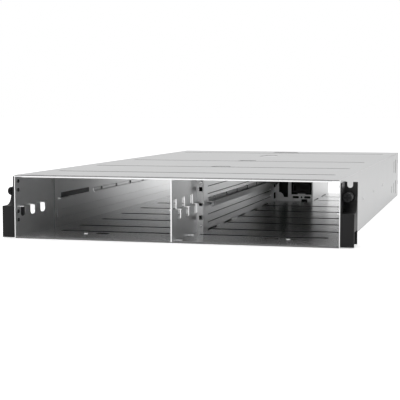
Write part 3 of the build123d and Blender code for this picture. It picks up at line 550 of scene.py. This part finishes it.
# Painted shade on the front flanges, under each bead and as marks for the two rear slots.
flange_depth = 0.0015
flange_shade = 0.6
skin_bead_levels = (0.0145, 0.0260, 0.0560, 0.0670)
skin_bead_lip = (0.0027, 0.0018)
skin_bead_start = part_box("divider_rail_right")[0][1]
skin_bead_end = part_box("divider_rail_right")[1][1] - 0.047
skin_bead_shade = 0.28
skin_slots = ("Y", divider_rear - 0.017, divider_rear - 0.001)
skin_slot_rows = (("Z", 0.0273, 0.0350), ("Z", 0.0060, 0.0173))
skin_slot_shade = 0.03
skin_beads = [(skin_bead_shade, ("Z", level - skin_bead_lip[0], level - skin_bead_lip[1]),
               ("Y", skin_bead_start, skin_bead_end)) for level in skin_bead_levels]
divider_steel = steel_finish(
    "divider_steel", tones=(0.84, 0.92), roughness=(0.26, 0.36), edge_tint=0.92, milky=0.2,
    bands=((flange_shade, ("Y", divider_front - cut_edge, divider_front + flange_depth)),
           *skin_beads,
           *[(skin_slot_shade, skin_slots, row) for row in skin_slot_rows]))
dress(divider_steel, "divider_panel_right", "divider_panel_left")

# Ledges
# Narrow folded strips of zinc-coated sheet, riveted to the walls, the divider and the cage. Sliding
# nodes keep them bright and finely scratched, so they shine less sharply than the sheets behind.
ledge_steel = steel_finish("ledge_steel", tones=(0.88, 0.93), roughness=(0.46, 0.54),
                           edge_tint=0.95, rolling=0.08, milky=0.6)
dress(ledge_steel, "divider_rail_right", "divider_rail_left", "cage_rails")
dress(liner_steel, "wall_rail_right", "wall_rail_left")

# Power supply cage
# Punched front panel, two sides, a partition and a shelf, with the vent panel and the port bracket
# at the rear. They are folded from a duller sheet than the rest.
cage_steel = steel_finish("cage_steel", tones=(0.70, 0.78), roughness=(0.30, 0.40),
                          edge_tint=0.88, milky=0.25)
dress(cage_steel, "cage_front_panel", "cage_side_right", "cage_side_left", "cage_partition",
      "cage_shelf", "rear_vent_panel", "port_bracket")

# Power board and its sockets
# A dark glass-fibre board that stands on the floor behind the cage front. It carries grey moulded
# sockets, which take the nodes' plugs at the front and the supplies' plugs at the rear.
dress(dark_finish("board_laminate", (0.020, 0.028, 0.024),
                  rough=0.4, speckle=300, depth=0.1), "power_board")
socket_plastic = dark_finish("socket_plastic", (0.17, 0.17, 0.175),
                             rough=0.5, speckle=2200, depth=0.2)
dress(socket_plastic, "node_connector_lower_right", "node_connector_upper_right",
      "node_connector_lower_left", "node_connector_upper_left", "supply_sockets")

# Ear brackets
# Folded steel with a notch that is open at the top, powder-coated black. Each one lies outside its
# side wall and is held by four small screws from inside.
bracket_coat = dark_finish("bracket_coat", (0.007, 0.007, 0.0075),
                           rough=0.42, speckle=1500, depth=0.3)
dress(bracket_coat, "ear_bracket_right", "ear_bracket_left")

# Ear caps
# Charcoal mouldings clipped over the brackets. The tool leaves a fine texture and soft edges, so
# each one is the plain cap with its edges rounded.
cap_round = 0.0006
cap_plastic = dark_finish("cap_plastic", (0.010, 0.010, 0.0105),
                          rough=0.55, speckle=2500, depth=0.25, sheen=0.2)


def pick(*pieces):
    """Select only these pieces, the last one active."""
    bpy.ops.object.select_all(action="DESELECT")
    for piece in pieces:
        piece.select_set(True)
    bpy.context.view_layer.objects.active = pieces[-1]


def free_copy(node, name):
    """A copy of a CAD node with its triangles merged into flat faces, free to be worked on."""
    pick(frame["nodes"][node])
    bpy.ops.object.duplicate()
    copy = bpy.context.object
    copy.name = name
    del copy["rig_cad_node"]
    bpy.ops.object.mode_set(mode="EDIT")
    bpy.ops.mesh.select_all(action="SELECT")
    bpy.ops.mesh.remove_doubles(threshold=0.00001)
    bpy.ops.mesh.dissolve_limited(angle_limit=math.radians(1))
    bpy.ops.object.mode_set(mode="OBJECT")
    return copy


def soften(piece, width):
    """Round the sharp edges of a piece and smooth its curved faces."""
    pick(piece)
    rounding = piece.modifiers.new("rounding", "BEVEL")
    rounding.width = width
    rounding.segments = 2
    rounding.angle_limit = math.radians(40)
    rounding.harden_normals = False
    bpy.ops.object.modifier_apply(modifier="rounding")
    bpy.ops.object.shade_smooth_by_angle(angle=math.radians(35))


for side_name in ("right", "left"):
    cap = free_copy(f"ear_cap_{side_name}", f"ear_cap_moulding_{side_name}")
    soften(cap, cap_round)
    cap.data.materials.clear()
    cap.data.materials.append(cap_plastic)
    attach(cap, "chassis")
    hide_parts(f"ear_cap_{side_name}")

# Power supplies
# Folded steel cases with a moulded handle and a sprung coloured latch. The fan turns in a well with
# painted shade on its walls, behind a guard of bright welded wire: three hoops on two crossed bars.
# The inlet is a dark moulding with plated pins.
wire_radius = 0.0005
hoop_radii = (0.0124, 0.0067)
handle_round = 0.0008
latch_round = 0.0005
blade_round = 0.0002
pin_round = 0.0002
pin_skin = 0.00005
pin_half = (0.0007, 0.0025)
pin_depths = (0.0100, 0.0020)
pin_places = ((-0.006, -0.0026), (0, 0.0026), (0.006, -0.0026))
inlet_offset = 0.0189
supply_low, supply_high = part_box("supply_right_case")
supply_back = supply_high[1]
# Painted shade on the walls of the fan well.
well_shade = 0.03
well_wall = 0.0009
well_span = ("Y", supply_back - 0.0105, supply_back - 0.00005)
supply_steel = steel_finish(
    "supply_steel", tones=(0.46, 0.54), roughness=(0.26, 0.36), edge_tint=0.75,
    bands=((well_shade, ("X", supply_low[0] + well_wall, supply_high[0] - well_wall), well_span,
            ("Z", supply_low[2] + well_wall, supply_high[2] - well_wall)),))
pin_metal = steel_finish("pin_metal", tones=(0.62, 0.70), roughness=(0.18, 0.26),
                         edge_tint=0.85, rolling=0.0)
handle_plastic = dark_finish("handle_plastic", (0.020, 0.020, 0.021),
                             rough=0.5, speckle=2500, depth=0.25)
fan_plastic = dark_finish("fan_plastic", (0.010, 0.010, 0.011), rough=0.4, speckle=1800, depth=0.15)
latch_plastic = dark_finish("latch_plastic", (0.30, 0.05, 0.035),
                            rough=0.5, speckle=1800, depth=0.2)
guard_wire = steel_finish("guard_wire", tones=(0.60, 0.68), roughness=(0.14, 0.22),
                          edge_tint=0.85, rolling=0.0)
dress(supply_steel, "supply_right_case", "supply_left_case")
for side_name in ("right", "left"):
    for node, name, width, finish, body, slot in (
            ("handle", "handle_moulding", handle_round, handle_plastic, "supply", "black_plastic"),
            ("latch", "latch_lever", latch_round, latch_plastic, "latch", "latch_plastic"),
            ("fan_rotor", "fan_impeller", blade_round, fan_plastic, "fan", "black_plastic")):
        moulding = free_copy(f"supply_{side_name}_{node}", f"{name}_{side_name}")
        soften(moulding, width)
        moulding.data.materials.clear()
        moulding.data.materials.append(finish)
        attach(moulding, f"{body}_{side_name}")
        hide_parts(f"supply_{side_name}_{node}")
    low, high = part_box(f"supply_{side_name}_fan_guard")
    guard_middle = [(low[axis] + high[axis]) / 2 for axis in range(3)]
    guard_reach = (high[2] - low[2]) / 2 - wire_radius
    bpy.ops.object.select_all(action="DESELECT")
    wires = []
    for radius in (guard_reach, *hoop_radii):
        bpy.ops.mesh.primitive_torus_add(major_radius=radius, minor_radius=wire_radius,
                                         major_segments=48, minor_segments=8,
                                         location=guard_middle, rotation=(math.pi / 2, 0, 0))
        wires.append(bpy.context.object)
    for turn in (1, -1):
        bpy.ops.mesh.primitive_cylinder_add(vertices=8, radius=wire_radius,
                                            depth=2 * guard_reach, location=guard_middle,
                                            rotation=(0, turn * math.pi / 4, 0))
        wires.append(bpy.context.object)
    pick(*wires)
    bpy.ops.object.join()
    bpy.ops.object.transform_apply(location=True, rotation=True, scale=True)
    bpy.ops.object.shade_smooth_by_angle(angle=math.radians(50))
    guard = bpy.context.object
    guard.name = f"fan_guard_wire_{side_name}"
    guard.data.materials.append(guard_wire)
    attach(guard, f"supply_{side_name}")
    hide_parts(f"supply_{side_name}_fan_guard")
    low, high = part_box(f"supply_{side_name}_case")
    inlet_middle = (low[0] + high[0]) / 2 + inlet_offset
    inlet_level = (low[2] + high[2]) / 2
    pins = []
    for across, rise in pin_places:
        pin_x, pin_z = inlet_middle + across, inlet_level + rise
        pins.append(bar((pin_x - pin_half[0] - pin_skin, high[1] - pin_depths[0],
                         pin_z - pin_half[1] - pin_skin),
                        (pin_x + pin_half[0] + pin_skin, high[1] - pin_depths[1] + pin_skin,
                         pin_z + pin_half[1] + pin_skin), pin_round))
    pick(*pins)
    bpy.ops.object.join()
    plated = bpy.context.object
    plated.name = f"inlet_pins_{side_name}"
    plated.data.materials.append(pin_metal)
    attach(plated, f"supply_{side_name}")

# Management ports
# Two shielded jacks in a folded bracket beside the vent panel. Each shield is bright outside, with
# painted shade inside, and eight gold-plated spring contacts under its roof.
port_middles = (0.0500, 0.0685)
port_half = 0.0075
port_floor = 0.0520
port_roof = 0.0646
contact_count = 8
contact_pitch = 0.00127
contact_wire = 0.0004
contact_round = 0.00008
contact_drop = 0.0008
contact_span = (0.4195, 0.4330)
# Painted shade inside each jack's cavity.
cavity_shade = 0.05
cavity_depth = ("Y", contact_span[0] - 0.0006, 0.4357)
cavity_rows = ("Z", port_floor - face_skin, port_roof + face_skin)
cavity_half = port_half + face_skin
port_cavities = [(cavity_shade, ("X", middle - cavity_half, middle + cavity_half),
                  cavity_depth, cavity_rows) for middle in port_middles]
port_metal = steel_finish("port_metal", tones=(0.60, 0.68), roughness=(0.14, 0.22),
                          edge_tint=0.85, rolling=0.0,
                          bands=port_cavities)
contact_gold = bpy.data.materials.new("contact_gold")
contact_gold.use_nodes = True
gold_tree = contact_gold.node_tree
gold_place = gold_tree.nodes.new("ShaderNodeTexCoord")
gold_noise = gold_tree.nodes.new("ShaderNodeTexNoise")
gold_noise.inputs["Scale"].default_value = 900
gold_tone = gold_tree.nodes.new("ShaderNodeMix")
gold_tone.data_type = "RGBA"
gold_tone.inputs["A"].default_value = (0.62, 0.44, 0.16, 1)
gold_tone.inputs["B"].default_value = (0.74, 0.54, 0.22, 1)
gold_metal = gold_tree.nodes["Principled BSDF"]
gold_metal.inputs["Metallic"].default_value = 1.0
gold_metal.inputs["Roughness"].default_value = 0.25
gold_tree.links.new(gold_place.outputs["Object"], gold_noise.inputs["Vector"])
gold_tree.links.new(gold_noise.outputs["Fac"], gold_tone.inputs["Factor"])
gold_tree.links.new(gold_tone.outputs["Result"], gold_metal.inputs["Base Color"])
dress(port_metal, "management_ports")
contact_top = port_roof - contact_drop
contacts = []
for middle in port_middles:
    for number in range(contact_count):
        place = middle + (number - (contact_count - 1) / 2) * contact_pitch
        contacts.append(bar((place - contact_wire / 2, contact_span[0], contact_top - contact_wire),
                            (place + contact_wire / 2, contact_span[1], contact_top),
                            contact_round))
pick(*contacts)
bpy.ops.object.join()
contact_set = bpy.context.object
contact_set.name = "port_contacts"
contact_set.data.materials.append(contact_gold)
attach(contact_set, "chassis")

# Thumbscrews
# Turned steel with a black finish: a knurled grip with a rounded rim and a cross recess, on a
# relieved shank that ends in a bright thread. They turn freely in the ears.
knurl_count = 32
knurl_depth = 0.0003
rim_round = 0.0008
thumb_recess = (0.0080, 0.0020, 0.0026)
grip_length = 0.022
shank_radius = 0.002
stud_radius = 0.0025
stud_length = 0.012
stud_round = 0.0006
thread_scale = 390
thread_depth = 0.0004
thumb_black = dark_finish("thumb_black", (0.015, 0.015, 0.016),
                          rough=0.50, speckle=900, depth=0.15, sheen=0.15)
thread_steel = steel_finish("thread_steel", tones=(0.50, 0.60), roughness=(0.20, 0.30),
                            edge_tint=0.85, rolling=0.0)
thread_turns = thread_steel.node_tree.nodes.new("ShaderNodeTexWave")
thread_turns.bands_direction = "Y"
thread_turns.inputs["Scale"].default_value = thread_scale
thread_place = thread_steel.node_tree.nodes.new("ShaderNodeTexCoord")
thread_ridge = thread_steel.node_tree.nodes["Bump"]
thread_ridge.inputs["Distance"].default_value = thread_depth
thread_ridge.inputs["Strength"].default_value = 1.0
thread_steel.node_tree.links.new(thread_place.outputs["Object"], thread_turns.inputs["Vector"])
thread_steel.node_tree.links.new(thread_turns.outputs["Fac"], thread_ridge.inputs["Height"])


def cut_cross(piece, centre, size, turn):
    """Cut a cross recess whose two arms are as long, wide and deep as size says."""
    length, width, depth = size
    arms = []
    for across, along in ((length, width), (width, length)):
        bpy.ops.mesh.primitive_cube_add(size=1, location=centre, rotation=turn)
        arm = bpy.context.object
        arm.scale = (across, along, 2 * depth)
        arms.append(arm)
    pick(*arms)
    bpy.ops.object.transform_apply(location=True, rotation=True, scale=True)
    for arm in arms:
        pick(piece)
        recess = piece.modifiers.new("recess", "BOOLEAN")
        recess.object = arm
        recess.operation = "DIFFERENCE"
        bpy.ops.object.modifier_apply(modifier="recess")
    pick(*arms)
    bpy.ops.object.delete()


def bevel_rim(piece, axis, place, width):
    """Round the rim whose points all lie at this place along an axis."""
    pick(piece)
    bpy.ops.object.mode_set(mode="EDIT")
    bpy.ops.mesh.select_mode(type="EDGE")
    bpy.ops.mesh.select_all(action="DESELECT")
    bpy.ops.object.mode_set(mode="OBJECT")
    points = piece.data.vertices
    for edge in piece.data.edges:
        edge.select = all(abs(points[end].co[axis] - place) < 0.00001 for end in edge.vertices)
    bpy.ops.object.mode_set(mode="EDIT")
    bpy.ops.mesh.bevel(offset=width, segments=3)
    bpy.ops.object.mode_set(mode="OBJECT")


facing_front = (math.pi / 2, 0, 0)
for side_name in ("right", "left"):
    low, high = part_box(f"thumbscrew_{side_name}")
    middle_x = (low[0] + high[0]) / 2
    middle_z = (low[2] + high[2]) / 2
    grip_radius = (high[2] - low[2]) / 2
    bpy.ops.object.select_all(action="DESELECT")
    bpy.ops.mesh.primitive_cylinder_add(vertices=knurl_count, radius=grip_radius, depth=grip_length,
                                        location=(middle_x, low[1] + grip_length / 2, middle_z),
                                        rotation=facing_front)
    grip = bpy.context.object
    bpy.ops.object.transform_apply(location=True, rotation=True, scale=True)
    for flank in grip.data.polygons:
        flank.select = abs(flank.normal[1]) < 0.5
    bpy.ops.object.mode_set(mode="EDIT")
    bpy.ops.mesh.select_mode(type="FACE")
    bpy.ops.mesh.inset(thickness=knurl_depth, depth=-knurl_depth, use_individual=True)
    bpy.ops.object.mode_set(mode="OBJECT")
    bevel_rim(grip, 1, low[1], rim_round)
    cut_cross(grip, (middle_x, low[1], middle_z), thumb_recess, facing_front)
    stud_start = high[1] - stud_length
    grip_end = low[1] + grip_length
    rods = []
    for radius, start, end in ((shank_radius, grip_end, stud_start),
                               (stud_radius, stud_start, high[1])):
        bpy.ops.mesh.primitive_cylinder_add(vertices=24, radius=radius, depth=end - start,
                                            location=(middle_x, (start + end) / 2, middle_z),
                                            rotation=facing_front)
        rod = bpy.context.object
        bpy.ops.object.transform_apply(location=True, rotation=True, scale=True)
        rod.data.materials.append(thread_steel)
        rods.append(rod)
    bevel_rim(rods[1], 1, high[1], stud_round)
    grip.data.materials.append(thumb_black)
    pick(*rods, grip)
    bpy.ops.object.join()
    bpy.ops.object.shade_smooth_by_angle(angle=math.radians(30))
    grip.name = f"thumbscrew_turned_{side_name}"
    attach(grip, f"thumbscrew_{side_name}")
    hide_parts(f"thumbscrew_{side_name}")
dress(thread_steel, "thumbscrew_ferrules")

# Screws
# Low pan heads with a cross recess. Those that hold the ears are blackened, and those in the
# flanges of the divider are bright.
screw_radius = 0.0026
screw_height = 0.0014
screw_round = 0.0007
screw_recess = (0.0030, 0.0008, 0.0009)
head_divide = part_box("cage_side_right")[1][0]
screw_steel = steel_finish("screw_steel", tones=(0.56, 0.64), roughness=(0.18, 0.26),
                           edge_tint=0.85, rolling=0.0)
screw_black = dark_finish("screw_black", (0.016, 0.016, 0.017), rough=0.35, speckle=900, depth=0.1)


def solid_boxes(node):
    """Lowest and highest corner of each separate solid of a CAD node, read from a merged copy."""
    pick(free_copy(node, f"{node}_copy"))
    bpy.ops.object.mode_set(mode="EDIT")
    bpy.ops.mesh.select_all(action="SELECT")
    bpy.ops.mesh.separate(type="LOOSE")
    bpy.ops.object.mode_set(mode="OBJECT")
    boxes = []
    for solid in bpy.context.selected_objects:
        points = [point.co for point in solid.data.vertices]
        low = [min(point[axis] for point in points) for axis in range(3)]
        high = [max(point[axis] for point in points) for axis in range(3)]
        boxes.append((low, high))
    bpy.ops.object.delete()
    return boxes


def domed_head(radius, height, rounding):
    """A low round head that stands on the origin and faces up."""
    bpy.ops.object.select_all(action="DESELECT")
    bpy.ops.mesh.primitive_cylinder_add(vertices=16, radius=radius, depth=height,
                                        location=(0, 0, height / 2))
    head = bpy.context.object
    bpy.ops.object.transform_apply(location=True, rotation=True, scale=True)
    bevel_rim(head, 2, height, rounding)
    return head


def set_heads(head, node, name, finish):
    """Put a copy of a head at each solid of a CAD node, on the face that it holds, as one piece."""
    copies = []
    for low, high in solid_boxes(node):
        spans = [high[axis] - low[axis] for axis in range(3)]
        thin = spans.index(min(spans))
        middle = [(low[axis] + high[axis]) / 2 for axis in range(3)]
        if thin == 1:
            turn, seat = (math.pi / 2, 0, 0), high[1]
        else:
            outward = 1 if middle[0] > 0 else -1
            faces_out = abs(middle[0]) < head_divide or abs(middle[0]) > wall_outside
            way = outward if faces_out else -outward
            turn, seat = (0, way * math.pi / 2, 0), low[0] if way > 0 else high[0]
        middle[thin] = seat
        pick(head)
        bpy.ops.object.duplicate()
        copy = bpy.context.object
        copy.rotation_euler = turn
        copy.location = middle
        copies.append(copy)
    pick(*copies)
    bpy.ops.object.join()
    bpy.ops.object.transform_apply(location=True, rotation=True, scale=True)
    bpy.ops.object.shade_smooth_by_angle(angle=math.radians(35))
    piece = bpy.context.object
    piece.name = name
    piece.data.materials.clear()
    piece.data.materials.append(finish)
    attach(piece, "chassis")
    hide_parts(node)
    pick(head)
    bpy.ops.object.delete()


for node, name, finish in (("ear_screws", "ear_pan_heads", screw_black),
                           ("divider_screws", "divider_pan_heads", screw_steel)):
    screw = domed_head(screw_radius, screw_height, screw_round)
    cut_cross(screw, (0, 0, screw_height), screw_recess, (0, 0, 0))
    set_heads(screw, node, name, finish)

# Rivets
# Domed steel heads of the pull rivets that hold the ledges to their walls. Each one has the small
# pit that its broken-off pin leaves.
rivet_radius = 0.002
rivet_height = 0.0008
rivet_round = 0.0005
pit_rim = 0.0007
pit_slope = 0.0001
pit_depth = 0.0004
rivet_steel = steel_finish("rivet_steel", tones=(0.54, 0.62), roughness=(0.22, 0.32),
                           edge_tint=0.85, rolling=0.0)
for node, name in (("side_rivets", "side_rivet_heads"), ("rail_rivets", "rail_rivet_heads")):
    rivet = domed_head(rivet_radius, rivet_height, rivet_round)
    for crown in rivet.data.polygons:
        crown.select = crown.normal[2] > 0.99
    pick(rivet)
    bpy.ops.object.mode_set(mode="EDIT")
    bpy.ops.mesh.select_mode(type="FACE")
    bpy.ops.mesh.inset(thickness=pit_rim, depth=0)
    bpy.ops.mesh.inset(thickness=pit_slope, depth=-pit_depth)
    bpy.ops.object.mode_set(mode="OBJECT")
    set_heads(rivet, node, name, rivet_steel)
